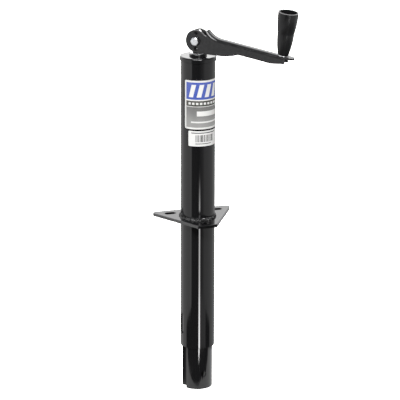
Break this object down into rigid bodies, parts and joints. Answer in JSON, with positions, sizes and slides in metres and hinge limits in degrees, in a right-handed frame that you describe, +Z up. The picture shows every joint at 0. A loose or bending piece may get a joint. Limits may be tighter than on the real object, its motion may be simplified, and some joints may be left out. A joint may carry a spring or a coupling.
{
  "type": "trailer tongue jack",
  "caption": "Top-wind screw jack with a round telescoping tube, a triangular bolt-on plate and a folding crank with a turning grip.",
  "frame": {"origin": "on the tube's axis at the underside of the mounting plate, where the jack rests on the trailer's coupler", "axes": "+Z up along the tube's axis towards the crank; the plate's nose points to -Y and its two slotted holes lie along X"},
  "size_m": [0.1964, 0.1771, 0.6665],
  "materials": {
    "black_paint": "gloss",
    "zinc_steel": "bright zinc",
    "bearing_steel": "polished",
    "cage_plastic": "moulded nylon",
    "nut_bronze": "machined",
    "grip_plastic": "satin",
    "label_film": "printed film"
  },
  "bodies": {
    "housing": {"outer_tube": "black_paint", "guide_key": "black_paint", "mounting_plate": "black_paint", "plate_weld": "black_paint", "top_cap": "black_paint", "cap_bush": "black_paint", "tube_label": "label_film", "small_label": "label_film", "upper_race": "bearing_steel"},
    "screw": {"lead_screw": "zinc_steel", "lower_race": "bearing_steel", "retaining_ring": "zinc_steel", "stop_washer": "zinc_steel", "stop_pin": "zinc_steel", "detent_spring": "bearing_steel"},
    "bearing": {"ball_cage": "cage_plastic", "bearing_balls": "bearing_steel"},
    "ram": {"ram_tube": "black_paint", "drive_nut": "nut_bronze", "nut_pins": "zinc_steel"},
    "crank": {"crank_arm": "black_paint", "pivot_bolt": "zinc_steel", "pivot_washer": "zinc_steel", "lock_nut": "zinc_steel", "grip_rivet": "zinc_steel", "grip_washer": "zinc_steel"},
    "grip": {"crank_grip": "grip_plastic"},
    "detent": {"detent_ball": "bearing_steel"}
  },
  "joints": [
    {"name": "crank_spin", "type": "hinge", "parent": "housing", "child": "screw", "pos_m": [0, 0, 0.2], "axis": [0, 0, -1], "range_deg": [0, 27000]},
    {"name": "ram_slide", "type": "slide", "parent": "housing", "child": "ram", "axis": [0, 0, -1], "range_m": [0, 0.3811]},
    {"name": "bearing_spin", "type": "hinge", "parent": "housing", "child": "bearing", "pos_m": [0, 0, 0.27], "axis": [0, 0, -1], "range_deg": [0, 13500]},
    {"name": "crank_fold", "type": "hinge", "parent": "screw", "child": "crank", "pos_m": [0, 0, 0.304], "axis": [-0.7254, -0.6884, 0], "range_deg": [0, 180]},
    {"name": "grip_spin", "type": "hinge", "parent": "crank", "child": "grip", "pos_m": [0.10683, -0.11258, 0.29704], "axis": [0.0839, -0.0884, 0.9925], "continuous": true},
    {"name": "detent_press", "type": "slide", "parent": "screw", "child": "detent", "axis": [0.7254, 0.6884, 0], "range_m": [0, 0.0012], "stiffness_N_per_m": 1500, "springref_m": -0.001, "deforming": ["detent_spring"]}
  ],
  "couplings": [
    {"joint": "ram_slide", "follows": "crank_spin", "m_per_rad": 0.0008085},
    {"joint": "bearing_spin", "follows": "crank_spin", "ratio": 0.5}
  ]
}
